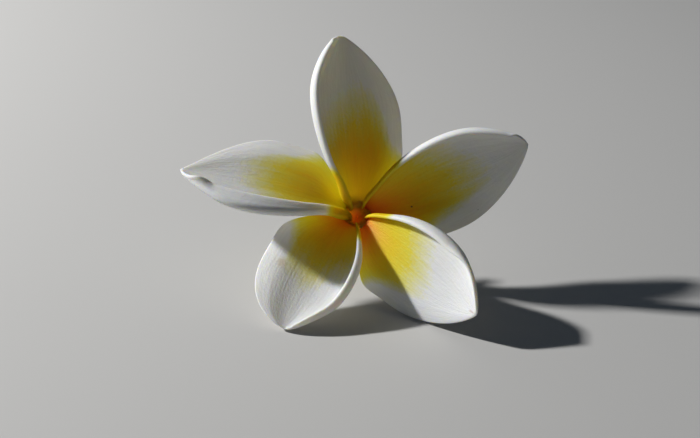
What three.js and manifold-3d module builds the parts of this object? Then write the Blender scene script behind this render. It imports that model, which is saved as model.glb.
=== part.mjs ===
// Frangipani flower (Plumeria): one fallen blossom, lying as it came to rest.
//
// Five thick waxy petals leave the mouth of a narrow tube. Each petal lies in front of its
// neighbour on one side, all one way round, and the margin that lies in front stands up and
// rolls over. The flower leans back at half a right angle on three low points: its two lower
// petals and the end of the tube behind.
//
// A petal is a sheet of even thickness, bent by formula. Its midrib leaves the tube almost along
// the axis, flares out and rises. Across the midrib the sheet is cupped, and near the rolled
// margin it turns on through the margin's own angle.
//
// Millimetres and degrees. Flower frame: +Z is the flower's axis, towards whoever looks into it,
// and the throat, where the petals leave the tube, is at z = 0. World frame: +Z is up, +X is along
// the widest spread of the petals, -Y is the side the flower faces, and the ground is z = 0.

import * as THREE from 'three';
import { mergeVertices } from 'three/addons/utils/BufferGeometryUtils.js';
import Module from 'manifold-3d';

// ---- How the flower lies ----
const AXIS_ELEVATION = 45; // of the flower's axis above the ground
const THROAT_HEIGHT = 13.7; // of the throat's centre above the ground

// ---- The petals ----
// bearing: of the midrib round the axis, counter-clockwise as one looks into the flower, from +X
// length: along the midrib
// rise: of the midrib above the plane across the axis, and tipLift: what is added by the tip
// arch: added at mid-length
// sweep: how far the midrib has turned sideways by the tip
// roll: the tilt of the sheet about its midrib, which lifts the rolled margin to the front
// rolledHalf, tuckedHalf: greatest half widths, on the rolled margin's side and on the other
// rolledCup, tuckedCup: how far the sheet curves up towards each margin, and tipCup: more at the tip
// marginRoll: how far the rolled margin turns over
// rolledOutline, tuckedOutline: for each half, where along it is widest and how pointed it is
const PETALS = [
  { name: 'petal_top', bearing: 93, length: 38.2, rise: 18, tipLift: 9, arch: -1, sweep: 4.5,
    roll: 17, rolledHalf: 12.8, tuckedHalf: 11.4, rolledCup: 25, tuckedCup: 19, tipCup: 15,
    marginRoll: 71, rolledOutline: [0.59, 0.68], tuckedOutline: [0.5, 0.82] },
  { name: 'petal_left', bearing: 167.5, length: 38.8, rise: 16, tipLift: 3, arch: -4.5, sweep: 5,
    roll: 10.5, rolledHalf: 11.8, tuckedHalf: 11, rolledCup: 25, tuckedCup: 24, tipCup: 10,
    marginRoll: 105, rolledOutline: [0.61, 0.77], tuckedOutline: [0.46, 1] },
  { name: 'petal_lower_left', bearing: 239, length: 32.6, rise: 13, tipLift: 8, arch: -8.5, sweep: 4.5,
    roll: 15, rolledHalf: 14.8, tuckedHalf: 11.6, rolledCup: 34, tuckedCup: 26.5, tipCup: 32,
    marginRoll: 98, rolledOutline: [0.58, 0.68], tuckedOutline: [0.54, 0.5] },
  { name: 'petal_lower_right', bearing: -50, length: 38.2, rise: 15.2, tipLift: 31, arch: -6, sweep: 4,
    roll: 29, rolledHalf: 12.8, tuckedHalf: 9.8, rolledCup: 16, tuckedCup: 3, tipCup: 18,
    marginRoll: 84, rolledOutline: [0.59, 0.68], tuckedOutline: [0.5, 0.82] },
  { name: 'petal_upper_right', bearing: 19, length: 39.8, rise: 17, tipLift: 20, arch: -1, sweep: -7,
    roll: 21.5, rolledHalf: 11.4, tuckedHalf: 11.5, rolledCup: 27, tuckedCup: 12, tipCup: 15.5,
    marginRoll: 90, rolledOutline: [0.59, 0.68], tuckedOutline: [0.5, 0.82] },
];
const BLADE = 0.7; // thickness of the sheet
const BEAD = 1.0; // thickness at the rolled margin's edge
const BEAD_START = 0.8; // where the sheet starts to thicken, as a share of the half width
const MARGIN_SHARE = 0.45; // of the half width, that belongs to the rolled margin
const MARGIN_TURN = 0.75; // of the margin, over which it turns
const MARGIN_FADE = 0.72; // of the length, after which the margin unrolls again
const TIP_CUP_START = 0.7; // of the length
const TIP_HALF = 0.35; // half width of the blunt tip

// ---- The foot of each petal ----
const THROAT_RADIUS = 2.1; // of the ring of petal feet, at mid-thickness
const FOOT_HALF = 1.1; // half width of a foot: five of them, with their gaps, close the ring
const FOOT_CUP = 36; // so that a foot follows the ring
const FOOT_CUP_LENGTH = 4;
const FOOT_RISE = 85; // the midrib leaves the tube almost along the axis
const FLARE_LENGTH = 3.5; // over which it turns outwards
const CLAW_LENGTH = 5; // over which the petal widens from its foot
const CLAW_POWER = 1.5; // above 1, it keeps the foot's width for longer
const ROLL_LENGTH = 5; // over which the roll and the rolled margin grow
const TUCK = 2; // extra half width where the tucked side lies behind its neighbour
const TUCK_PLACE = 10.5; // its middle, along the midrib
const TUCK_SPREAD = 4.5;

// ---- The tube ----
const SEAT_GAP = 0.35; // between the petal feet and the tube's mouth
const TUBE_WALL = 0.7;
// distance below the throat, outer radius
const TUBE_OUTLINE = [[SEAT_GAP, 2.45], [3, 2.2], [7, 1.85], [12, 1.7], [15.5, 1.85], [17.8, 1.8]];

// ---- Facets ----
const ALONG = 26; // rows along a petal
const ALONG_CROWDING = 1.25; // above 1, rows crowd towards the foot
const MIDRIB_STEPS = 4; // of integration, for each row
const SHEET_STEPS = 24; // of integration, from the midrib to a margin
const ACROSS = [...steps(-1, 0, 5), ...steps(0, 0.5, 3), ...steps(0.5, 1, 6), 1];
const TUBE_SIDES = 32;

function steps(from, to, count) {
  return Array.from({ length: count }, (_, k) => from + ((to - from) * k) / count);
}

const rad = THREE.MathUtils.degToRad;
const smooth = (x) => THREE.MathUtils.smoothstep(x, 0, 1);

// Half width at share t of the length. The sine is highest where t ** power is one half.
function halfWidth(widest, [peak, pointed], t, length) {
  const power = Math.log(0.5) / Math.log(peak);
  const blade = Math.sin(Math.PI * t ** power) ** pointed;
  const claw = 1 - Math.exp(-(((t * length) / CLAW_LENGTH) ** CLAW_POWER));
  return Math.max(widest * blade * claw + FOOT_HALF * (1 - t) ** 3, TIP_HALF);
}

// Direction of the midrib at share t of the length, in the plane that holds the petal's bearing.
function midribDirection(petal, t) {
  const flare = (FOOT_RISE - petal.rise) * Math.exp((-t * petal.length) / FLARE_LENGTH);
  const bend = petal.arch * Math.sin(Math.PI * t) + petal.tipLift * t ** 3;
  const rise = rad(petal.rise + flare + bend);
  const turn = rad(petal.sweep * t);
  return new THREE.Vector3(Math.cos(rise) * Math.cos(turn), Math.cos(rise) * Math.sin(turn), Math.sin(rise));
}

// The midrib's stations: its place, the sheet's sideways direction and its face direction.
function midribStations(petal) {
  const stations = [];
  const place = new THREE.Vector3(THROAT_RADIUS, 0, 0);
  let t = 0;
  for (let row = 0; row <= ALONG; row += 1) {
    const rowT = (row / ALONG) ** ALONG_CROWDING;
    const stride = (rowT - t) / MIDRIB_STEPS;
    for (let k = 0; k < MIDRIB_STEPS; k += 1) {
      place.addScaledVector(midribDirection(petal, t + stride / 2), stride * petal.length);
      t += stride;
    }
    const forward = midribDirection(petal, t);
    const turn = rad(petal.sweep * t);
    const tilt = rad(petal.roll) * smooth((t * petal.length) / ROLL_LENGTH);
    const side = new THREE.Vector3(-Math.sin(turn), Math.cos(turn), 0).applyAxisAngle(forward, tilt);
    const face = new THREE.Vector3().crossVectors(forward, side);
    stations.push({ t, place: place.clone(), side, face });
  }
  return stations;
}

// How far the sheet has turned up at share v of the half width. Positive v is the rolled side.
function sheetTurn(petal, t, v) {
  const reach = t * petal.length;
  const cup = v > 0 ? petal.rolledCup : petal.tuckedCup;
  const foot = (FOOT_CUP - cup) * Math.exp(-reach / FOOT_CUP_LENGTH);
  const tip = petal.tipCup * smooth((t - TIP_CUP_START) / (1 - TIP_CUP_START));
  let turn = (cup + foot + tip) * Math.abs(v);
  if (v > 0) {
    const grown = smooth(reach / ROLL_LENGTH) * (1 - smooth((t - MARGIN_FADE) / (1 - MARGIN_FADE)));
    turn += petal.marginRoll * grown * smooth((v - 1 + MARGIN_SHARE) / (MARGIN_SHARE * MARGIN_TURN));
  }
  return rad(turn);
}

// Mid-thickness point of the sheet at station s and share v of the half width.
function sheetPoint(petal, s, v) {
  const tuck = TUCK * Math.exp(-(((s.t * petal.length - TUCK_PLACE) / TUCK_SPREAD) ** 2));
  const width = v > 0
    ? halfWidth(petal.rolledHalf, petal.rolledOutline, s.t, petal.length)
    : halfWidth(petal.tuckedHalf, petal.tuckedOutline, s.t, petal.length) + tuck;
  const stride = (Math.abs(v) * width) / SHEET_STEPS;
  const point = s.place.clone();
  for (let k = 0; k < SHEET_STEPS; k += 1) {
    const turn = sheetTurn(petal, s.t, (v * (k + 0.5)) / SHEET_STEPS);
    point.addScaledVector(s.side, Math.sign(v) * Math.cos(turn) * stride);
    point.addScaledVector(s.face, Math.sin(turn) * stride);
  }
  return point;
}

function sheetThickness(v) {
  return BLADE + (BEAD - BLADE) * smooth((v - BEAD_START) / (1 - BEAD_START));
}

// A petal: the sheet's front and back, split into triangles alike, and the rim between them.
function petalGeometry(petal) {
  const rows = midribStations(petal).map((s) => ACROSS.map((v) => sheetPoint(petal, s, v)));
  const columns = ACROSS.length;
  const at = (row, column) => row * columns + column;
  const front = [];
  const back = [];
  for (let i = 0; i <= ALONG; i += 1) {
    for (let j = 0; j < columns; j += 1) {
      const along = rows[Math.min(i + 1, ALONG)][j].clone().sub(rows[Math.max(i - 1, 0)][j]);
      const across = rows[i][Math.min(j + 1, columns - 1)].clone().sub(rows[i][Math.max(j - 1, 0)]);
      const half = along.cross(across).setLength(sheetThickness(ACROSS[j]) / 2);
      front.push(rows[i][j].clone().add(half));
      back.push(rows[i][j].clone().sub(half));
    }
  }
  const index = [];
  const backStart = front.length;
  for (let i = 0; i < ALONG; i += 1) {
    for (let j = 0; j < columns - 1; j += 1) {
      const [a, b, c, d] = [at(i, j), at(i + 1, j), at(i + 1, j + 1), at(i, j + 1)];
      index.push(a, b, c, a, c, d);
      index.push(backStart + a, backStart + c, backStart + b, backStart + a, backStart + d, backStart + c);
    }
  }
  const rim = [];
  for (let i = 0; i < ALONG; i += 1) rim.push(at(i, 0));
  for (let j = 0; j < columns - 1; j += 1) rim.push(at(ALONG, j));
  for (let i = ALONG; i > 0; i -= 1) rim.push(at(i, columns - 1));
  for (let j = columns - 1; j > 0; j -= 1) rim.push(at(0, j));
  rim.forEach((p, k) => {
    const q = rim[(k + 1) % rim.length];
    index.push(q, p, backStart + p, q, backStart + p, backStart + q);
  });
  const geometry = new THREE.BufferGeometry().setFromPoints([...front, ...back]);
  geometry.setIndex(index);
  return geometry;
}

// The tube: a turned wall, open at both ends.
function tubeGeometry() {
  const inner = TUBE_OUTLINE.map(([depth, radius]) => new THREE.Vector2(radius - TUBE_WALL, -depth));
  const outer = inner.map((p) => new THREE.Vector2(p.x + TUBE_WALL, p.y)).reverse();
  const wall = new THREE.LatheGeometry([...inner, ...outer, inner[0]], TUBE_SIDES);
  return wall.rotateX(Math.PI / 2);
}

// ---- Small flat spots where the flower touches the ground ----
const { Manifold, Mesh: SolidMesh } = await loadSolids();

async function loadSolids() {
  const library = await Module();
  library.setup();
  return library;
}

function toSolid(geometry) {
  const shell = geometry.clone();
  shell.deleteAttribute('normal');
  shell.deleteAttribute('uv');
  const merged = mergeVertices(shell, 1e-4);
  const vertProperties = new Float32Array(merged.attributes.position.array);
  const triVerts = new Uint32Array(merged.index.array);
  return new Manifold(new SolidMesh({ numProp: 3, vertProperties, triVerts }));
}

function toGeometry(solid) {
  const { vertProperties, triVerts } = solid.getMesh();
  const geometry = new THREE.BufferGeometry();
  geometry.setAttribute('position', new THREE.BufferAttribute(new Float32Array(vertProperties), 3));
  geometry.setIndex([...triVerts]);
  return geometry;
}

const GROUND_SIZE = 200;
const GROUND_DEPTH = 20;

// Takes off whatever of a mesh lies below the ground.
function restOnGround(mesh) {
  const ground = new THREE.BoxGeometry(GROUND_SIZE, GROUND_SIZE, GROUND_DEPTH);
  ground.translate(0, 0, -GROUND_DEPTH / 2);
  ground.applyMatrix4(mesh.matrixWorld.clone().invert());
  mesh.geometry = toGeometry(toSolid(mesh.geometry).subtract(toSolid(ground)));
}

// ---- The flower ----
const petalSkin = { color: 0xf4f2ea, roughness: 0.5, metalness: 0 };
const tubeSkin = { color: 0xe6e3bd, roughness: 0.55, metalness: 0 };

const blossom = new THREE.Group();
for (const petal of PETALS) {
  const mesh = new THREE.Mesh(petalGeometry(petal), new THREE.MeshStandardMaterial(petalSkin));
  mesh.name = petal.name;
  mesh.rotation.z = rad(petal.bearing);
  blossom.add(mesh);
}
const tube = new THREE.Mesh(tubeGeometry(), new THREE.MeshStandardMaterial(tubeSkin));
tube.name = 'corolla_tube';
blossom.add(tube);

blossom.rotation.x = rad(90 - AXIS_ELEVATION);
blossom.position.z = THROAT_HEIGHT;

const flower = new THREE.Group();
flower.add(blossom);
flower.updateMatrixWorld(true);
blossom.children.forEach(restOnGround);

// The origin is on the ground, under the middle of the flower's spread.
const middle = new THREE.Box3().setFromObject(flower, true).getCenter(new THREE.Vector3());
blossom.position.x -= middle.x;
blossom.position.y -= middle.y;

export default flower;
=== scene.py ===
# %% [markdown]
# # A frangipani flower
# A frangipani is five thick, waxy petals on a narrow tube. Each petal lies in front of its neighbour on one
# side, all one way round, and the margin in front stands up and rolls over. This flower has dropped from its
# tree: it leans back on three low points, two petals and the end of its tube.
#
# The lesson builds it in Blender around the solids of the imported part, which give its size and its place:
# first the camera and the light, then the shapes of the petals and the tube, and last their finishes.

# %% The tools and the frame
import math

import bmesh
import bpy
import numpy as np
from mathutils import Matrix, Vector


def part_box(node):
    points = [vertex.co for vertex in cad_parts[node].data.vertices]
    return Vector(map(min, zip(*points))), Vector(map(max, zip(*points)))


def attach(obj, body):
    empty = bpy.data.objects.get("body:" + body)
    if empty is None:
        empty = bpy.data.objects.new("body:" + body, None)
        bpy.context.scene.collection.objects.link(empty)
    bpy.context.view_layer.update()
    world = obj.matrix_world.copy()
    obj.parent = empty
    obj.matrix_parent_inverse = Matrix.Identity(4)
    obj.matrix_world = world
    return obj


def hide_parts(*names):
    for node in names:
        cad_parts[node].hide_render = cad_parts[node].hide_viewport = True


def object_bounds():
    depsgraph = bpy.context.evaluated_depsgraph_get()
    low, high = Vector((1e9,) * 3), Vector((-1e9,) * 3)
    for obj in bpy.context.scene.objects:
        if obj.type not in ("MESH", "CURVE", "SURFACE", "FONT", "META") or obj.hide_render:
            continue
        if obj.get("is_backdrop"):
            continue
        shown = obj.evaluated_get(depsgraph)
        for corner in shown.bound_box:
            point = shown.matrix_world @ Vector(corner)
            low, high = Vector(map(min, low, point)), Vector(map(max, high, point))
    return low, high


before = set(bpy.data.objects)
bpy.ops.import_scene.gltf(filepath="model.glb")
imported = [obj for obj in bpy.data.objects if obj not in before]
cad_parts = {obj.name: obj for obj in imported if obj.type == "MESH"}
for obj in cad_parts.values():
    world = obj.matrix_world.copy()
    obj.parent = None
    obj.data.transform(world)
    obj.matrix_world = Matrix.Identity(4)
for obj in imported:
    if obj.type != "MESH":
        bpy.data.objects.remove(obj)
cad_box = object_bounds()
MM = 0.001
print("solids in the frame:", sorted(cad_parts))

# %% [markdown]
# ## How the flower lies
# The petals are easiest to describe in the flower's own frame: the axis is +Z, towards whoever looks into the
# flower, and the throat is the origin. One matrix then lays the whole flower down. Its tilt is a known angle,
# and its place is read from the solid tube: the rim of the tube's mouth is the tube's highest point and its
# furthest point forward, so both give the throat.

# %% The matrix that lays the flower down
AXIS_ELEVATION = math.radians(45)
MOUTH_RADIUS = 2.45 * MM
MOUTH_DEPTH = 0.35 * MM

tube_low, tube_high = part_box("corolla_tube")
rim_offset = (MOUTH_RADIUS - MOUTH_DEPTH) * math.cos(AXIS_ELEVATION)
throat = Vector(((tube_low.x + tube_high.x) / 2, tube_low.y + rim_offset, tube_high.z - rim_offset))
lay_down = Matrix.Translation(throat) @ Matrix.Rotation(math.pi / 2 - AXIS_ELEVATION, 4, "X")
print("throat at", tuple(round(c * 1000, 2) for c in throat), "mm")

# %% [markdown]
# ## The camera
# The flower is seen from a low stand, a little above it, with a long lens. The camera looks straight at the
# flower's throat and is then slid sideways a little, which moves the throat off the middle of the picture.

# %% A long lens, a little above the ground
VIEW_ELEVATION = math.radians(25)
VIEW_DISTANCE = 0.274
LENS = 65.0
SENSOR = 36.0
PICTURE_WIDTH = 700
THROAT_RIGHT = 7
THROAT_UP = 1

focal_pixels = PICTURE_WIDTH * LENS / SENSOR
pixel_size = VIEW_DISTANCE / focal_pixels
backwards = Vector((0, -math.cos(VIEW_ELEVATION), math.sin(VIEW_ELEVATION)))
upwards = Vector((0, math.sin(VIEW_ELEVATION), math.cos(VIEW_ELEVATION)))
sideways = Vector((THROAT_RIGHT * pixel_size, 0, 0))
camera_data = bpy.data.cameras.new("camera")
camera_data.lens = LENS
camera_data.sensor_width = SENSOR
camera = bpy.data.objects.new("camera", camera_data)
bpy.context.scene.collection.objects.link(camera)
camera.location = throat + backwards * VIEW_DISTANCE - sideways - upwards * THROAT_UP * pixel_size
camera.rotation_euler = (math.pi / 2 - VIEW_ELEVATION, 0, 0)
bpy.context.scene.camera = camera
print("one pixel at the throat is", round(pixel_size * 1000, 4), "mm")

# %% [markdown]
# ## Floor and light
# White petals show their shape only if the light comes mostly from one side. The key light is a small lamp
# on the left, and it is fairly hard: it draws the rolled margins as bright lines and lets each petal throw a
# crisp shadow on its neighbour. A dim, bluish dome and a very weak fill keep the shaded petals readable. A
# larger key lamp would make the shadows softer.

# %% A pale floor
FLOOR_SIZE = 3.0
FLOOR_COLOR = (0.60, 0.59, 0.57, 1)
FLOOR_ROUGHNESS = 0.85

floor_mesh = bmesh.new()
bmesh.ops.create_grid(floor_mesh, x_segments=1, y_segments=1, size=FLOOR_SIZE / 2)
floor_data = bpy.data.meshes.new("floor")
floor_mesh.to_mesh(floor_data)
floor_mesh.free()
floor = bpy.data.objects.new("floor", floor_data)
bpy.context.scene.collection.objects.link(floor)
floor_skin = bpy.data.materials.new("pale_floor")
floor_skin.use_nodes = True
floor_shader = floor_skin.node_tree.nodes["Principled BSDF"]
floor_shader.inputs["Base Color"].default_value = FLOOR_COLOR
floor_shader.inputs["Roughness"].default_value = FLOOR_ROUGHNESS
floor_data.materials.append(floor_skin)
floor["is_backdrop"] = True
print("floor:", FLOOR_SIZE, "m wide")

# %% Two lamps and a dome
DOME_COLOR = (0.62, 0.78, 1.0, 1)
DOME_STRENGTH = 0.055


def area_light(name, azimuth, elevation, distance, size, power):
    """A square light that looks at the flower. Azimuth 0 is the camera's side, and it grows to the right."""
    data = bpy.data.lights.new(name, "AREA")
    data.size = size
    data.energy = power
    lamp = bpy.data.objects.new(name, data)
    bpy.context.scene.collection.objects.link(lamp)
    a, e = math.radians(azimuth), math.radians(elevation)
    away = Vector((math.sin(a) * math.cos(e), -math.cos(a) * math.cos(e), math.sin(e)))
    lamp.location = throat + away * distance
    lamp.rotation_euler = away.to_track_quat("Z", "Y").to_euler()
    return lamp


area_light("key", azimuth=-104, elevation=33, distance=0.9, size=0.05, power=9.8)
area_light("fill", azimuth=10, elevation=45, distance=1.2, size=1.0, power=0.1)

world = bpy.data.worlds.new("pale_dome")
world.use_nodes = True
world.node_tree.nodes["Background"].inputs["Color"].default_value = DOME_COLOR
world.node_tree.nodes["Background"].inputs["Strength"].default_value = DOME_STRENGTH
bpy.context.scene.world = world
bpy.context.scene.view_settings.view_transform = "Standard"

# %% [markdown]
# ## The petals' dimensions
# All five petals follow one formula, and differ only in these dimensions. Lengths are in millimetres and
# angles in degrees. They began as the dimensions of the solids and were then refined, most of all in how the
# margins roll. The bearing goes round the flower's axis, counter-clockwise as one looks in. The rolled half
# of a petal lies in front of its neighbour, and the tucked half lies behind the neighbour on its other side.
#
# - rise, tip_lift, arch and bow bend the midrib, sweep turns it sideways, and roll tilts the whole sheet.
# - The outlines say how far out each half is widest, and how pointed it is.
# - The cups curl each half, fall lets the tucked margin drop, and hood and tuck widen the foot.
# - share is how much of the rolled half the rolled margin takes, fold how much of that it bends over, fade
#   where it starts to die out towards the tip, and edge how much further its very edge turns.
# - The margin rolls by root_roll up to root_length, then by margin_roll, and by tip_roll at the tip.

# %% Five petals
PETALS = {
    "petal_top": dict(
        bearing=93, length=38.7, rise=18, tip_lift=9, arch=-1, bow=6, sweep=4.5, roll=17,
        rolled_half=12.6, tucked_half=11.4, rolled_outline=(0.62, 0.58), tucked_outline=(0.53, 0.82),
        rolled_cup=25, tucked_cup=19, tip_cup=15, fall=30, hood=2.6, tuck=2,
        share=0.42, fold=0.75, fade=0.96, edge=60,
        root_roll=125, margin_roll=80, tip_roll=80, root_length=4,
    ),
    "petal_left": dict(
        bearing=167, length=39.6, rise=13.5, tip_lift=3, arch=-4.5, bow=11, sweep=5, roll=20,
        rolled_half=14.4, tucked_half=12.8, rolled_outline=(0.6, 0.88), tucked_outline=(0.51, 1.08),
        rolled_cup=25, tucked_cup=24, tip_cup=10, fall=36, hood=3.0, tuck=2.6,
        share=0.42, fold=0.5, fade=0.97, edge=15,
        root_roll=150, margin_roll=168, tip_roll=35, root_length=6,
    ),
    "petal_lower_left": dict(
        bearing=239, length=31.7, rise=13, tip_lift=8, arch=-8.5, bow=5, sweep=4.5, roll=3,
        rolled_half=10.6, tucked_half=11.9, rolled_outline=(0.58, 0.58), tucked_outline=(0.6, 0.46),
        rolled_cup=34, tucked_cup=26.5, tip_cup=32, fall=42, hood=0.9, tuck=2,
        share=0.27, fold=0.75, fade=0.97, edge=60,
        root_roll=110, margin_roll=115, tip_roll=115, root_length=4,
    ),
    "petal_lower_right": dict(
        bearing=-50, length=37.9, rise=15.2, tip_lift=31, arch=-6, bow=4, sweep=4, roll=29,
        rolled_half=12.8, tucked_half=10.2, rolled_outline=(0.59, 0.68), tucked_outline=(0.47, 0.9),
        rolled_cup=16, tucked_cup=3, tip_cup=18, fall=28, hood=1.2, tuck=2,
        share=0.36, fold=0.75, fade=0.62, edge=60,
        root_roll=120, margin_roll=120, tip_roll=120, root_length=4,
    ),
    "petal_upper_right": dict(
        bearing=19, length=39.8, rise=17, tip_lift=20, arch=-1, bow=5, sweep=-7, roll=21.5,
        rolled_half=11.1, tucked_half=11.5, rolled_outline=(0.6, 0.62), tucked_outline=(0.5, 0.82),
        rolled_cup=27, tucked_cup=12, tip_cup=15.5, fall=26, hood=1.6, tuck=2,
        share=0.4, fold=0.75, fade=0.93, edge=60,
        root_roll=115, margin_roll=95, tip_roll=95, root_length=4,
    ),
}
print("petals:", len(PETALS), "longest", max(p["length"] for p in PETALS.values()), "mm")

# %% [markdown]
# ## The midrib
# A petal grows along its midrib. The midrib leaves the tube almost along the flower's axis, flares out within
# a few millimetres, and then rises gently to the tip. Its direction is a formula of `t`, the share of the
# length, and its place is the running sum of that direction. numpy works out all the rows of a petal at once.

# %% Where the midrib runs
THROAT_RADIUS = 2.1
FOOT_RISE = 85
FLARE_LENGTH = 3.5
ROLL_LENGTH = 5
MIDRIB_STEPS = 4000


def smooth(x):
    x = np.clip(x, 0, 1)
    return x * x * (3 - 2 * x)


def directions(p, t):
    """Forward, sideways and face directions of the sheet at shares t of the midrib."""
    flare = (FOOT_RISE - p["rise"]) * np.exp(-t * p["length"] / FLARE_LENGTH)
    bend = p["arch"] * np.sin(np.pi * t) + p["bow"] * np.cos(np.pi * t) + p["tip_lift"] * t**3
    rise = np.radians(p["rise"] + flare + bend)
    turn = np.radians(p["sweep"] * t)
    forward = np.stack([np.cos(rise) * np.cos(turn), np.cos(rise) * np.sin(turn), np.sin(rise)], -1)
    level = np.stack([-np.sin(turn), np.cos(turn), 0 * t], -1)
    upright = np.cross(forward, level)
    tilt = (np.radians(p["roll"]) * smooth(t * p["length"] / ROLL_LENGTH))[..., None]
    side = np.cos(tilt) * level + np.sin(tilt) * upright
    return forward, side, np.cross(forward, side)


def midrib(p, t, steps=MIDRIB_STEPS):
    """Places of the midrib at shares t of its length."""
    fine = (np.arange(steps) + 0.5) / steps
    path = np.cumsum(directions(p, fine)[0], axis=0) * p["length"] / steps
    path = np.vstack([np.zeros(3), path])
    ticks = np.linspace(0, 1, steps + 1)
    place = np.stack([np.interp(t, ticks, path[:, axis]) for axis in range(3)], -1)
    return place + np.array([THROAT_RADIUS, 0, 0])


for name, p in PETALS.items():
    tip = midrib(p, np.array([1.0]))[0]
    print(f"{name}: tip {math.hypot(tip[0], tip[1]):.1f} mm out and {tip[2]:.1f} mm up from the throat")

# %% [markdown]
# ## How wide the sheet is
# From a narrow foot each half widens into the blade and closes to a point at the tip. A sine whose length is
# stretched puts the widest place where it belongs, and a power makes the tip blunter or sharper. The two
# halves have outlines of their own, because frangipani petals are lopsided.

# %% The outline of each half
FOOT_HALF = 1.1
CLAW_LENGTH = 5
CLAW_POWER = 1.5


def half_width(widest, outline, t, length):
    """Half widths in millimetres at shares t, before the hood, the tuck and the web are added."""
    peak, pointed = outline
    power = math.log(0.5) / math.log(peak)
    blade = np.sin(np.pi * np.clip(t, 0, 1) ** power).clip(0) ** pointed
    claw = 1 - np.exp(-((t * length / CLAW_LENGTH) ** CLAW_POWER))
    return widest * blade * claw + FOOT_HALF * (1 - t) ** 3


for name, p in PETALS.items():
    halves = [(p["rolled_half"], p["rolled_outline"]), (p["tucked_half"], p["tucked_outline"])]
    flat = sum(half_width(*half, np.linspace(0, 1, 101), p["length"]).max() for half in halves)
    print(f"{name}: {flat:.1f} mm wide if it were laid flat")

# %% [markdown]
# ## How far the sheet curls
# Across the midrib the sheet curls up: a little everywhere, which cups the petal, and a lot near the rolled
# margin. The roll of that margin changes along the petal, from the root to the blade to the tip, and its edge
# turns a little further. The tucked margin falls back instead, so it fits behind its neighbour.

# %% The curl as an angle
FOOT_CUP = 36
FOOT_CUP_LENGTH = 4
TIP_CUP_START = 0.7
TUCKED_TIP = 0.35
MARGIN_GROWTH = 2.4
FOOT_SHARE = 0.65
FOOT_SHARE_LENGTH = 6
ROOT_FADE = 8
TIP_ROLL_START = 0.79
EDGE_SHARE = 0.1
FALL_START = 0.35
FALL_LENGTH = 14


def sheet_turn(p, t, v):
    """How far the sheet has turned up at share v of the half width; positive v is the rolled half."""
    reach = t * p["length"]
    cup = np.where(v > 0, p["rolled_cup"], p["tucked_cup"])
    foot = (FOOT_CUP - cup) * np.exp(-reach / FOOT_CUP_LENGTH)
    near_tip = smooth((t - TIP_CUP_START) / (1 - TIP_CUP_START))
    tip = p["tip_cup"] * near_tip * np.where(v > 0, 1, TUCKED_TIP)
    fade = p["fade"]
    grown = smooth(reach / MARGIN_GROWTH) * (1 - smooth((t - fade) / (1 - fade)))
    share = p["share"] + (FOOT_SHARE - p["share"]) * np.exp(-((reach / FOOT_SHARE_LENGTH) ** 2))
    opened = smooth((reach - p["root_length"]) / ROOT_FADE)
    margin_roll = p["root_roll"] + (p["margin_roll"] - p["root_roll"]) * opened
    at_tip = smooth((t - TIP_ROLL_START) / (1 - TIP_ROLL_START))
    margin_roll = margin_roll + (p["tip_roll"] - margin_roll) * at_tip
    margin = margin_roll * grown * smooth((v - 1 + share) / (share * p["fold"]))
    hem = p["edge"] * grown * smooth((v - 1 + EDGE_SHARE) / EDGE_SHARE)
    fall = p["fall"] * smooth(reach / FALL_LENGTH) * smooth((-v - FALL_START) / (1 - FALL_START))
    return np.radians((cup + foot + tip) * np.abs(v) + np.where(v > 0, margin + hem, -fall))


for name, p in PETALS.items():
    turned = math.degrees(sheet_turn(p, np.array([0.5]), np.array([1.0]))[0])
    print(f"{name}: halfway along, its rolled edge has turned by {turned:.0f} degrees")

# %% [markdown]
# ## The sheet
# The curl is a direction again, and it is summed up from the midrib out to each margin, so the sheet keeps
# its true width however far it rolls. Close to the throat a hood, a tuck and a web widen the foot, which lets
# the petals meet each other there.

# %% Points of the sheet
TUCK_PLACE = 10.5
TUCK_SPREAD = 4.5
HOOD_PLACE = 4
HOOD_SPREAD = 3
WEB = 1.5
WEB_PLACE = 4
WEB_SPREAD = 2.6
SHEET_STEPS = 200


def sheet(p, t, v):
    """Mid-thickness points and normals of the sheet, for a grid of shares t (rows) and v (columns)."""
    forward, side, face = directions(p, t)
    place = midrib(p, t)
    tuck = p["tuck"] * np.exp(-(((t * p["length"] - TUCK_PLACE) / TUCK_SPREAD) ** 2))
    hood = p["hood"] * np.exp(-(((t * p["length"] - HOOD_PLACE) / HOOD_SPREAD) ** 2))
    web = WEB * np.exp(-(((t * p["length"] - WEB_PLACE) / WEB_SPREAD) ** 2))
    widths = {
        1: half_width(p["rolled_half"], p["rolled_outline"], t, p["length"]) + hood,
        -1: half_width(p["tucked_half"], p["tucked_outline"], t, p["length"]) + tuck + web,
    }
    points = np.empty((len(t), len(v), 3))
    normals = np.empty_like(points)
    for sign, width in widths.items():
        columns = np.where((v > 0) == (sign > 0))[0]
        ticks = np.linspace(0, 1, SHEET_STEPS + 1)
        mid = (ticks[1:] + ticks[:-1]) / 2
        turn = sheet_turn(p, t[:, None], sign * mid[None, :])
        out = np.cumsum(np.cos(turn), 1) / SHEET_STEPS
        up = np.cumsum(np.sin(turn), 1) / SHEET_STEPS
        edge_turn = sheet_turn(p, t[:, None], v[None, columns])
        for row in range(len(t)):
            share = np.abs(v[columns])
            b = np.interp(share, ticks, np.append(0, out[row])) * width[row] * sign
            n = np.interp(share, ticks, np.append(0, up[row])) * width[row]
            points[row, columns] = place[row] + b[:, None] * side[row] + n[:, None] * face[row]
            a = edge_turn[row][:, None]
            normals[row, columns] = np.cos(a) * face[row] - sign * np.sin(a) * side[row]
    return points, normals, widths


print("each half of a sheet is summed up in", SHEET_STEPS, "steps")

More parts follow.
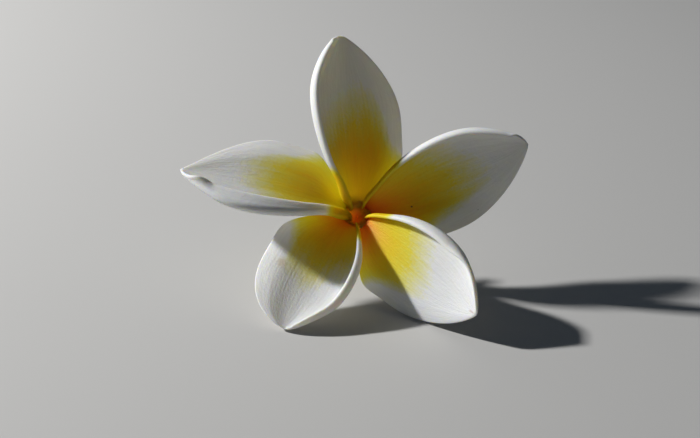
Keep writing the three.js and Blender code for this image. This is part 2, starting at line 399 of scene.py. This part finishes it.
# %% [markdown]
# ## The petal's body
# A petal is about as thick as card, with a round, slightly swollen rolled margin and a thin tucked one. One
# grid wraps right round it: its columns run over the front from the tucked margin to the rolled one and come
# back over the back. They crowd at the margins, so that both edges turn in a smooth half circle. The last row
# is drawn together into one point. Merging the doubles closes the seam and the tip, and the foot gets a cap.

# %% Thickness
BLADE = 0.7
BEAD = 1.05
BEAD_START = 0.8
TUCKED_EDGE = 0.45
TIP_ROUND = 0.8


def thickness(p, t, v):
    """Full thickness of the sheet: swollen at the rolled margin, thin at the tucked one."""
    clear_of_foot = smooth(t * p["length"] / ROLL_LENGTH)
    swollen = (BEAD - BLADE) * smooth((v - BEAD_START) / (1 - BEAD_START)) * clear_of_foot
    thinned = (BLADE - TUCKED_EDGE) * smooth(-v) * clear_of_foot
    close = np.sqrt(1 - smooth((t - 1 + TIP_ROUND / p["length"]) * p["length"] / TIP_ROUND) ** 2)
    return (BLADE + swollen - thinned) * close


print("petals are", BLADE, "mm thick, and", BEAD, "mm along the rolled margin")

# %% Petal meshes
ROWS = 120
COLUMNS = 96
EVEN_ROWS = 0.45
CROWDED_ROWS = 0.55
WAVE_HEIGHT = 0.1
WAVE_COUNTS = (2, 3, 5)
WAVE_START = 12
THINNEST = 1e-3
SEAM = 1e-6


def smooth_object(shape, name):
    """A bmesh as a smooth-shaded object."""
    data = bpy.data.meshes.new(name)
    shape.to_mesh(data)
    shape.free()
    data.polygons.foreach_set("use_smooth", np.ones(len(data.polygons), bool))
    piece = bpy.data.objects.new(name, data)
    bpy.context.scene.collection.objects.link(piece)
    return piece


def petal_piece(name, p, seed):
    """A closed petal, laid down in the frame, with the map that its skin is painted by."""
    grid = bmesh.new()
    uv_map = grid.loops.layers.uv.new("petal_map")
    bmesh.ops.create_grid(grid, x_segments=COLUMNS, y_segments=ROWS, size=1)
    grid.verts.ensure_lookup_table()
    local = np.array([v.co for v in grid.verts])
    column = np.rint((local[:, 0] + 1) / 2 * COLUMNS).astype(int)
    row = np.rint((local[:, 1] + 1) / 2 * ROWS).astype(int)

    u = np.arange(ROWS + 1) / ROWS
    t = EVEN_ROWS * u + CROWDED_ROWS * (1 - np.cos(np.pi * u)) / 2
    wrap = 2 * np.arange(COLUMNS + 1) / COLUMNS
    v = -np.cos(np.pi * wrap)
    front = np.sign(np.sin(np.pi * wrap)).round()
    points, normals, widths = sheet(p, t, v)

    phase = np.random.default_rng(seed).uniform(0, 2 * np.pi, 3)
    wave = sum(np.sin(k * np.pi * t + f) / k for k, f in zip(WAVE_COUNTS, phase))
    at_margin = np.abs(v)[None, :] ** 3
    lift = WAVE_HEIGHT * wave[:, None] * at_margin * smooth(t * p["length"] / WAVE_START)[:, None]
    points += lift[..., None] * normals

    width = np.where(v > 0, widths[1][:, None], widths[-1][:, None])
    full = thickness(p, t[:, None], v[None, :])
    rounding = np.clip(full / 2 / np.maximum(width, THINNEST), THINNEST, 1)
    edge = np.clip((np.abs(v)[None, :] - 1 + rounding) / rounding, 0, 1)
    offset = front[None, :] * full / 2 * np.sqrt(1 - edge**2)
    points += offset[..., None] * normals
    points[-1] = points[-1].mean(axis=0)

    place = lay_down @ Matrix.Rotation(math.radians(p["bearing"]), 4, "Z") @ Matrix.Scale(MM, 4)
    for vert, i, j in zip(grid.verts, row, column):
        vert.co = points[i, j]
    for face in grid.faces:
        for loop in face.loops:
            k = loop.vert.index
            loop[uv_map].uv = (wrap[column[k]], t[row[k]])
    bmesh.ops.transform(grid, matrix=place, verts=grid.verts)
    bmesh.ops.remove_doubles(grid, verts=grid.verts, dist=SEAM)
    rim = [e for e in grid.edges if e.is_boundary]
    bmesh.ops.holes_fill(grid, edges=rim, sides=0)
    bmesh.ops.recalc_face_normals(grid, faces=grid.faces)
    return smooth_object(grid, name + "_skin")


petals = {name: petal_piece(name, p, seed) for seed, (name, p) in enumerate(PETALS.items())}
for name, piece in petals.items():
    low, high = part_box(name)
    co = np.array([v.co for v in piece.data.vertices])
    drift = max(np.abs(co.min(0) - low).max(), np.abs(co.max(0) - high).max())
    print(f"{name}: {len(piece.data.polygons)} faces, box within {drift * 1000:.2f} mm of its solid's")

# %% [markdown]
# ## The tube and the throat
# Behind the throat the five petals have grown together into one narrow tube. It is a turned shape: half of
# its section, spun round the flower's axis. Above the mouth the wall goes on as a thin funnel that follows
# the petals' feet, because on the flower nothing parts the feet from each other. Inside, a small pit leads
# down into the hollow tube. Five faint furrows run down the outside, where the petals joined, and they wind a
# little round the tube.

# %% Section of the tube
TUBE_WALL = 0.7
TUBE_OUTLINE = [(0.35, 2.45), (3, 2.2), (7, 1.85), (12, 1.7), (15.5, 1.85), (17.8, 1.8)]
TUBE_RINGS = 60
FUNNEL_LENGTH = 2.8
FUNNEL_PLACES = [0, 0.03, 0.055, 1]
FUNNEL_FRONT = [0.75, 0.72, 0.34, 0.2]
FUNNEL_BACK = 0.34
FUNNEL_RINGS = 10
FUNNEL_LOW = 1.6
PIT = [
    (1.8, 1.35), (1.5, 1.0), (1.2, 0.76), (0.9, 0.58), (0.6, 0.46),
    (0.36, 0.36), (0.2, 0.2), (0.12, -0.4), (0.12, -4.0), (0.5, -6.5),
]
HOLLOW_START = 8

MIDRIB_SHAPE = ("length", "rise", "arch", "bow", "tip_lift")
mean_petal = {key: np.mean([p[key] for p in PETALS.values()]) for key in MIDRIB_SHAPE}
mean_petal.update(sweep=0, roll=0)
depths, radii = np.array(TUBE_OUTLINE).T
curve = np.polyfit(depths, radii, 4)
depth = np.linspace(depths[0], depths[-1], TUBE_RINGS)
outer_radius = np.polyval(curve, depth)
misfit = np.abs(np.polyval(curve, depths) - radii).max()
print("widest misfit of the smoothed outline:", round(misfit, 3), "mm")

share = np.linspace(0, FUNNEL_LENGTH / mean_petal["length"], FUNNEL_RINGS)
foot = midrib(mean_petal, share)
foot_normal = directions(mean_petal, share)[2]
funnel_front = foot + foot_normal * np.interp(share, FUNNEL_PLACES, FUNNEL_FRONT)[:, None]
funnel_back = foot - foot_normal * FUNNEL_BACK

inside = [(x, z) for x, _, z in funnel_front[::-1] if z > FUNNEL_LOW] + PIT
inside += [(r - TUBE_WALL, -d) for r, d in zip(outer_radius, depth) if d > HOLLOW_START]
outside = [(r, -d) for r, d in zip(outer_radius, depth)][::-1]
outside += [(x, z) for x, _, z in funnel_back]
print("section:", len(inside), "corners inside and", len(outside), "outside")

# %% [markdown]
# The spin closes on itself, because its first and last steps are merged. Each corner's place along the
# section then goes into a map, with which the skin tells the inside of the tube from the outside.

# %% Spinning the tube
TUBE_SIDES = 80
TUBE_SEAM = 1e-4
FURROWS = 5
FURROW_DEPTH = 0.05
FURROW_TWIST = 0.6
FURROW_START = 3


def tube_piece():
    section = inside + outside
    turned = bmesh.new()
    corners = [turned.verts.new((x, 0, z)) for x, z in section]
    for a, b in zip(corners, corners[1:] + corners[:1]):
        turned.edges.new((a, b))
    bmesh.ops.spin(
        turned, geom=turned.verts[:] + turned.edges[:], cent=(0, 0, 0), axis=(0, 0, 1),
        angle=2 * math.pi, steps=TUBE_SIDES, use_merge=True,
    )
    bmesh.ops.remove_doubles(turned, verts=turned.verts, dist=TUBE_SEAM)
    places = np.array(section)
    map_x = np.append(np.linspace(0, 0.5, len(inside)), np.linspace(0.5, 1, len(outside) + 1)[1:])
    uv_map = turned.loops.layers.uv.new("tube_map")
    for face in turned.faces:
        for loop in face.loops:
            x, y, z = loop.vert.co
            nearest = np.argmin((places[:, 0] - math.hypot(x, y)) ** 2 + (places[:, 1] - z) ** 2)
            loop[uv_map].uv = (map_x[nearest], math.atan2(y, x) / (2 * math.pi) + 0.5)
    for vert in turned.verts:
        x, y, z = vert.co
        radius = math.hypot(x, y)
        if z < 0:
            turn = math.atan2(y, x) + FURROW_TWIST * z / depths[-1]
            furrow = FURROW_DEPTH * (0.5 + 0.5 * math.cos(FURROWS * turn)) * min(1, -z / FURROW_START)
            vert.co.x -= furrow * x / radius
            vert.co.y -= furrow * y / radius
    bmesh.ops.transform(turned, matrix=lay_down @ Matrix.Scale(MM, 4), verts=turned.verts)
    bmesh.ops.recalc_face_normals(turned, faces=turned.faces)
    return smooth_object(turned, "corolla_tube_skin")


tube = tube_piece()
print("tube:", len(tube.data.polygons), "faces")

# %% [markdown]
# ## Painting with nodes
# The colours are all worked out by nodes. A few short helpers keep that readable: one adds a node and plugs
# values or other nodes into it, some do arithmetic, and one makes a group with named sockets.


# %% Node helpers
def add(tree, kind, inputs=None, **settings):
    node = tree.nodes.new(kind)
    for key, value in settings.items():
        setattr(node, key, value)
    for key, value in (inputs or {}).items():
        if isinstance(value, bpy.types.NodeSocket):
            tree.links.new(value, node.inputs[key])
        else:
            node.inputs[key].default_value = value
    return node


def calc(tree, operation, *values):
    node = add(tree, "ShaderNodeMath", dict(enumerate(values)), operation=operation)
    return node.outputs[0]


def times(tree, first, *others):
    for other in others:
        first = calc(tree, "MULTIPLY", first, other)
    return first


def plus(tree, first, *others):
    for other in others:
        first = calc(tree, "ADD", first, other)
    return first


def step(tree, value, low, high):
    """A soft step: 0 where value is at low, 1 where it is at high."""
    node = add(tree, "ShaderNodeMapRange", {"Value": value, "From Min": low, "From Max": high})
    node.interpolation_type = "SMOOTHSTEP"
    return node.outputs["Result"]


def blend(tree, factor, a, b, low=0.0, high=1.0):
    """The value a where factor is at low and b where it is at high."""
    limits = {"From Min": low, "From Max": high, "To Min": a, "To Max": b}
    node = add(tree, "ShaderNodeMapRange", {"Value": factor, **limits})
    return node.outputs["Result"]


def mix(tree, factor, a, b):
    """The colour a where factor is 0 and b where it is 1. Inputs 6 and 7 are the node's two colours."""
    node = add(tree, "ShaderNodeMix", {0: factor, 6: a, 7: b}, data_type="RGBA")
    return node.outputs[2]


def ramp(tree, value, stops):
    node = add(tree, "ShaderNodeValToRGB", {"Fac": value})
    elements = node.color_ramp.elements
    while len(elements) < len(stops):
        elements.new(1)
    for element, (place, color) in zip(elements, stops):
        element.position = place
        element.color = (*color, 1)
    return node.outputs["Color"]


def group(name, inputs, outputs):
    tree = bpy.data.node_groups.new(name, "ShaderNodeTree")
    for socket, kind in inputs.items():
        tree.interface.new_socket(socket, in_out="INPUT", socket_type=kind)
    for socket, kind in outputs.items():
        tree.interface.new_socket(socket, in_out="OUTPUT", socket_type=kind)
    source = tree.nodes.new("NodeGroupInput")
    target = tree.nodes.new("NodeGroupOutput")
    return tree, source.outputs, target.inputs


def tell(tree):
    print("group", tree.name, "puts out", [s.name for s in tree.interface.items_tree if s.in_out == "OUTPUT"])


VALUE, COLOR, VECTOR = "NodeSocketFloat", "NodeSocketColor", "NodeSocketVector"

# %% [markdown]
# ## The veins
# Fine veins run the length of each petal, and light that falls across them shows them as soft ribs. They are
# noise that is stretched along the petal's own map. Broader streaks and folds come from slower noise, and a
# fine grain from noise that isn't stretched that way. The same group serves the tube.

# %% Vein group
# name: (how often it changes across, how often along, detail)
NOISES = {"Ribs": (26, 7, 3), "Streaks": (8, 1.6, 5), "Folds": (4, 0.8, 1), "Grain": (24, 60, 2)}
NOISE_ROUGHNESS = 0.55


def vein_group():
    places = {"Across": VALUE, "Along": VALUE, "Side": VALUE}
    tree, inputs, outputs = group("long_veins", places, {name: VALUE for name in NOISES})
    for name, (across, along, detail) in NOISES.items():
        place = add(tree, "ShaderNodeCombineXYZ", {
            "X": times(tree, inputs["Across"], across),
            "Y": times(tree, inputs["Along"], along),
            "Z": times(tree, inputs["Side"], across),
        })
        noise = add(tree, "ShaderNodeTexNoise", {
            "Vector": place.outputs[0], "Scale": 1.0, "Detail": detail, "Roughness": NOISE_ROUGHNESS,
        })
        tree.links.new(noise.outputs["Fac"], outputs[name])
    return tree


long_veins = vein_group()
tell(long_veins)

# %% [markdown]
# ## The petal's colour
# The colour runs from red orange in the throat through orange and deep yellow to a waxy white. At the very
# foot it turns a lighter orange again, which is a painted glow of light shining through the flesh. It is a
# ramp over the share of the length, but nothing on a petal is that even, so several things push the share on
# before the ramp reads it:
#
# - streaks and specks pull the border in and out,
# - the margins are white from close to the throat outwards,
# - the rolled half turns yellow sooner than the tucked one,
# - the feet of some petals, most of all the left and top ones, are painted yellower: painted sunlight, set by
#   each skin's lift.
#
# Reach sets how much of the ramp a petal runs through, and Seed gives each petal its own veins.
#
# The back is paler than the front. Where the margin rolls over it shows its back as a strip, which is orange
# yellow as far as Bare and white beyond it. The petal's map has the place round the petal as X, with 0 to 1
# on the front and 1 to 2 on the back, and the share of the length as Y.

# %% Petal paint group
PETAL_STOPS = [
    # this first stop is lighter than the next one: a painted glow at the very foot, where the petal meets the
    # throat
    (0.00, (1.00, 0.280, 0.004)),
    (0.07, (0.88, 0.140, 0.004)),
    (0.13, (0.88, 0.220, 0.004)),
    (0.20, (0.90, 0.380, 0.004)),
    (0.28, (0.91, 0.540, 0.004)),
    (0.38, (0.90, 0.670, 0.008)),
    (0.49, (0.86, 0.740, 0.060)),
    (0.57, (0.83, 0.790, 0.320)),
    (0.70, (0.86, 0.860, 0.850)),
]
# how far each of these moves the colour along the ramp
STREAKS = 0.2
SPECKS = 0.12
TUCKED_WHITE = 0.40
ROLLED_WHITE = 0.34
BOTH_WHITE = 0.16
ROLLED_YELLOW = 0.12
# places on the ramp
STRIP_SHARE = 0.27
BACK_FOOT_SHARE = 0.40
BACK_TIP_SHARE = 0.75
# places on the petal
BACK_BEGINS, BACK_ENDS = (1.0, 1.15), (2.0, 1.9)
TUCKED_MARGIN, ROLLED_MARGIN = (-0.45, -1.0), (0.55, 0.95)
ROLLED_SIDE, ROLLED_STRIP = (-0.3, 0.7), (0.4, 0.75)
STREAKS_GROW, TUCKED_GROWS, BOTH_GROW, YELLOW_GROWS = (0.05, 0.45), (0.16, 0.42), (0.1, 0.5), (0.0, 0.15)
# the first two say where the painted sunlight on the foot ends and begins
SUNLIT_FOOT_ENDS, SUNLIT_FOOT_BEGINS, BACK_PALES = (0.4, 0.0), (0.0, 0.09), (0.0, 0.4)
ROLLED_FADE, STRIP_FADE = 0.13, 0.08
# what the veins do: besides the bump, they darken the colour a little in the troughs between the ribs, as
# painted shade
VEIN_RANGE = (0.3, 0.7)
RIB_PAINTED_SHADE = (0.93, 1.0)
PETAL_ROUGHNESS = (0.64, 0.52)
FOLD_HEIGHT, GRAIN_HEIGHT = 1.2, 0.8


def petal_paint_group():
    tree, inputs, outputs = group(
        "petal_paint",
        {"Map": VECTOR, "Reach": VALUE, "Seed": VALUE, "Lift": VALUE, "Bare": VALUE},
        {"Color": COLOR, "Roughness": VALUE, "Height": VALUE},
    )
    place = add(tree, "ShaderNodeSeparateXYZ", {"Vector": inputs["Map"]})
    wrap, t = place.outputs["X"], place.outputs["Y"]
    v = times(tree, calc(tree, "COSINE", times(tree, wrap, math.pi)), -1.0)
    back = times(tree, step(tree, wrap, *BACK_BEGINS), step(tree, wrap, *BACK_ENDS))
    side = plus(tree, calc(tree, "GREATER_THAN", wrap, 1.0), inputs["Seed"])
    on_petal = {"Across": v, "Along": t, "Side": side}
    veins = add(tree, "ShaderNodeGroup", on_petal, node_tree=long_veins).outputs

    streaks = times(tree, calc(tree, "SUBTRACT", veins["Streaks"], 0.5), STREAKS)
    specks = times(tree, calc(tree, "SUBTRACT", veins["Grain"], 0.5), SPECKS)
    uneven = plus(tree, streaks, specks)
    rolled_grows = step(tree, t, inputs["Bare"], plus(tree, inputs["Bare"], ROLLED_FADE))
    tucked_white = times(tree, step(tree, v, *TUCKED_MARGIN), TUCKED_WHITE, step(tree, t, *TUCKED_GROWS))
    rolled_white = times(tree, step(tree, v, *ROLLED_MARGIN), ROLLED_WHITE, rolled_grows)
    both_white = times(tree, times(tree, v, v), times(tree, step(tree, t, *BOTH_GROW), BOTH_WHITE))
    margins = plus(tree, tucked_white, rolled_white, both_white)
    yellow = times(tree, step(tree, v, *ROLLED_SIDE), ROLLED_YELLOW, step(tree, t, *YELLOW_GROWS))
    # painted sunlight: the foot of a sunlit petal is pushed towards yellow
    lift = times(tree, inputs["Lift"], step(tree, t, *SUNLIT_FOOT_ENDS), step(tree, t, *SUNLIT_FOOT_BEGINS))
    front_uneven = times(tree, uneven, step(tree, t, *STREAKS_GROW))
    share = plus(tree, times(tree, t, inputs["Reach"]), front_uneven, margins, yellow, lift)

    paler = blend(tree, step(tree, t, *BACK_PALES), BACK_FOOT_SHARE, BACK_TIP_SHARE)
    share = blend(tree, back, share, plus(tree, paler, uneven))
    strip = times(tree, back, step(tree, v, *ROLLED_STRIP))
    strip_whitens = step(tree, t, inputs["Bare"], plus(tree, inputs["Bare"], STRIP_FADE))
    share = blend(tree, strip, share, blend(tree, strip_whitens, STRIP_SHARE, BACK_TIP_SHARE))

    # painted shade: the colour is a little darker in the troughs between the ribs
    shade = blend(tree, veins["Ribs"], *RIB_PAINTED_SHADE, *VEIN_RANGE)
    toned = add(tree, "ShaderNodeHueSaturation", {"Color": ramp(tree, share, PETAL_STOPS), "Value": shade})
    height = calc(tree, "MULTIPLY_ADD", veins["Folds"], FOLD_HEIGHT, veins["Ribs"])
    height = calc(tree, "MULTIPLY_ADD", veins["Grain"], GRAIN_HEIGHT, height)
    tree.links.new(toned.outputs["Color"], outputs["Color"])
    tree.links.new(blend(tree, veins["Ribs"], *PETAL_ROUGHNESS, *VEIN_RANGE), outputs["Roughness"])
    tree.links.new(height, outputs["Height"])
    return tree


petal_paint = petal_paint_group()
tell(petal_paint)

# %% [markdown]
# ## Small marks
# A flower that has lain on the ground is not spotless. A mark is a soft round spot at one place of a petal's
# map. One group makes them all, and each petal says which marks it carries: where, how large, and in what
# colour.

# %% Mark group
WOBBLE_SCALE = 60.0
WOBBLE_DETAIL = 3.0
MARK_EDGE = (1.0, 0.25)


def mark_group():
    tree, inputs, outputs = group(
        "petal_mark",
        {"Map": VECTOR, "Across": VALUE, "Along": VALUE, "Size": VALUE},
        {"Mask": VALUE},
    )
    at = add(tree, "ShaderNodeSeparateXYZ", {"Vector": inputs["Map"]})
    noise = {"Vector": inputs["Map"], "Scale": WOBBLE_SCALE, "Detail": WOBBLE_DETAIL}
    wobble = add(tree, "ShaderNodeTexNoise", noise).outputs["Fac"]
    dx = calc(tree, "SUBTRACT", at.outputs["X"], inputs["Across"])
    dy = calc(tree, "SUBTRACT", at.outputs["Y"], inputs["Along"])
    far = calc(tree, "SQRT", plus(tree, times(tree, dx, dx), times(tree, dy, dy)))
    ragged = times(tree, far, plus(tree, wobble, 0.5))
    edge = calc(tree, "DIVIDE", ragged, inputs["Size"])
    tree.links.new(step(tree, edge, *MARK_EDGE), outputs["Mask"])
    return tree


petal_mark = mark_group()
tell(petal_mark)

# %% [markdown]
# ## Petal skin
# The shader itself stays in each material. Its constants sit on its own sockets: a waxy surface with light
# carried through the flesh. The colour, the roughness and the height come from the groups. The light goes
# deeper into the foot than into the blade, which makes the throat glow, and the material works that out from
# the petal's map itself.

# %% One skin for each petal
FLESH = 0.85
PETAL_SCATTER = (1.0, 0.85, 0.5)
PETAL_SHEEN = 0.28
GLOW_PLACES = (0.42, 0.05)
GLOW_DEPTHS = (0.9 * MM, 3.2 * MM)
PETAL_BUMP = {"Strength": 0.45, "Distance": 0.18 * MM}
# name: (reach, seed, lift, bare, marks), and each mark: (across, along, size, color, strength)
# lift paints the foot yellower, as painted sunlight
SKINS = {
    "petal_top": (0.94, 0.0, 0.18, 0.22, []),
    "petal_left": (0.97, 3.1, 0.32, 0.15, []),
    "petal_lower_left": (0.98, 6.2, 0.03, 0.19, [(0.285, 0.60, 0.05, (0.62, 0.48, 0.27), 0.35)]),
    "petal_lower_right": (1.02, 9.3, 0.0, 0.19, [(0.51, 0.965, 0.035, (0.45, 0.27, 0.20), 0.5)]),
    "petal_upper_right": (0.88, 12.4, 0.0, 0.31, [
        (0.403, 0.30, 0.008, (0.03, 0.02, 0.01), 0.9),
        (0.18, 0.63, 0.005, (0.08, 0.06, 0.04), 0.8),
    ]),
}


def new_skin(name):
    skin = bpy.data.materials.new(name)
    skin.use_nodes = True
    return skin, skin.node_tree, skin.node_tree.nodes["Principled BSDF"].inputs


def petal_skin(name, reach, seed, lift, bare, marks):
    skin, tree, shader = new_skin(name + "_finish")
    shader["Subsurface Weight"].default_value = FLESH
    shader["Subsurface Radius"].default_value = PETAL_SCATTER
    shader["Specular IOR Level"].default_value = PETAL_SHEEN
    petal_map = add(tree, "ShaderNodeUVMap", uv_map="petal_map").outputs["UV"]
    choices = {"Map": petal_map, "Reach": reach, "Seed": seed, "Lift": lift, "Bare": bare}
    paint = add(tree, "ShaderNodeGroup", choices, node_tree=petal_paint).outputs
    color = paint["Color"]
    for across, along, size, tint, strength in marks:
        spot = {"Map": petal_map, "Across": across, "Along": along, "Size": size}
        mask = add(tree, "ShaderNodeGroup", spot, node_tree=petal_mark).outputs["Mask"]
        color = mix(tree, times(tree, mask, strength), color, (*tint, 1))
    bump = add(tree, "ShaderNodeBump", {"Height": paint["Height"], **PETAL_BUMP})
    along = add(tree, "ShaderNodeSeparateXYZ", {"Vector": petal_map}).outputs["Y"]
    glow = blend(tree, step(tree, along, *GLOW_PLACES), *GLOW_DEPTHS)
    tree.links.new(color, shader["Base Color"])
    tree.links.new(paint["Roughness"], shader["Roughness"])
    tree.links.new(glow, shader["Subsurface Scale"])
    tree.links.new(bump.outputs["Normal"], shader["Normal"])
    return skin


for name, choices in SKINS.items():
    petals[name].data.materials.append(petal_skin(name, *choices))
print("petal skins:", [piece.data.materials[0].name for piece in petals.values()])

# %% [markdown]
# ## Tube skin
# The tube is a greenish white outside, warmer towards the petals, and orange in its mouth. Down the hole and
# over the pit the orange is painted brighter than the mouth's own colour, and palest on the pit's floor: a
# painted glow of light shining through the flesh. It has browned a little at the end, where it let go of the
# tree. Its pattern reads Object coordinates, which a Mapping node turns into the flower's own frame, so that
# depth is simply the height below the throat. The tube's own map only tells the inside, where its X is under
# one half, from the outside.

# %% The tube's finish
TUBE_STOPS = [
    (0.00, (0.45, 0.30, 0.12)),
    (0.06, (0.62, 0.58, 0.30)),
    (0.30, (0.74, 0.76, 0.50)),
    (0.80, (0.84, 0.80, 0.50)),
    (0.87, (0.88, 0.72, 0.16)),
    (1.00, (0.88, 0.66, 0.04)),
]
# inside: the mouth's own orange, painted brighter than it is and palest on the pit's floor, as a painted glow
THROAT_STOPS_WITH_PAINTED_GLOW = [
    (0.00, (0.36, 0.25, 0.10)),
    (0.35, (0.74, 0.70, 0.36)),
    (0.70, (1.00, 0.30, 0.006)),
    (0.85, (1.00, 0.45, 0.008)),
    (0.92, (1.00, 0.42, 0.006)),
    (1.00, (1.00, 0.34, 0.004)),
]
TUBE_SCATTER = (2.4, 1.5, 0.3)
TUBE_GLOW = 3.0 * MM
TUBE_ROUGHNESS = (0.55, 0.42)
TUBE_BUMP = {"Strength": 0.3, "Distance": 0.2 * MM}


def tube_skin():
    skin, tree, shader = new_skin("tube_finish")
    shader["Subsurface Weight"].default_value = FLESH
    shader["Subsurface Radius"].default_value = TUBE_SCATTER
    shader["Subsurface Scale"].default_value = TUBE_GLOW
    upright = lay_down.inverted()
    flower = add(tree, "ShaderNodeMapping", {
        "Vector": add(tree, "ShaderNodeTexCoord").outputs["Object"],
        "Location": upright.to_translation(),
        "Rotation": upright.to_euler(),
    })
    at = add(tree, "ShaderNodeSeparateXYZ", {"Vector": flower.outputs["Vector"]})
    length = depths[-1] * MM
    height = calc(tree, "DIVIDE", plus(tree, at.outputs["Z"], length), length + FUNNEL_LENGTH * MM)
    angle = calc(tree, "ARCTAN2", at.outputs["Y"], at.outputs["X"])
    round_tube = {"Across": calc(tree, "SINE", angle), "Along": height, "Side": angle}
    veins = add(tree, "ShaderNodeGroup", round_tube, node_tree=long_veins).outputs
    tube_map = add(tree, "ShaderNodeUVMap", uv_map="tube_map").outputs["UV"]
    along = add(tree, "ShaderNodeSeparateXYZ", {"Vector": tube_map}).outputs["X"]
    within = calc(tree, "LESS_THAN", along, 0.5)
    color = mix(tree, within, ramp(tree, height, TUBE_STOPS), ramp(tree, height, THROAT_STOPS_WITH_PAINTED_GLOW))
    bump = add(tree, "ShaderNodeBump", {"Height": veins["Ribs"], **TUBE_BUMP})
    tree.links.new(color, shader["Base Color"])
    tree.links.new(blend(tree, veins["Streaks"], *TUBE_ROUGHNESS, *VEIN_RANGE), shader["Roughness"])
    tree.links.new(bump.outputs["Normal"], shader["Normal"])
    return skin


tube.data.materials.append(tube_skin())
print("tube skin:", tube.data.materials[0].name)

# %% [markdown]
# ## Pieces on the frame
# Every piece stands for its solid, which is hidden, and rides on the one rigid body of the flower. Last, the
# size of the dressed flower is set against the size of the solids.

# %% Pieces on the frame
for name, piece in petals.items():
    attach(piece, "root")
    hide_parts(name)
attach(tube, "root")
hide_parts("corolla_tube")

dressed_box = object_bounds()
for side, solid, dressed in zip("XYZ", *[np.subtract(b[1], b[0]) * 1000 for b in (cad_box, dressed_box)]):
    print(f"{side}: solids {solid:.1f} mm, dressed {dressed:.1f} mm")
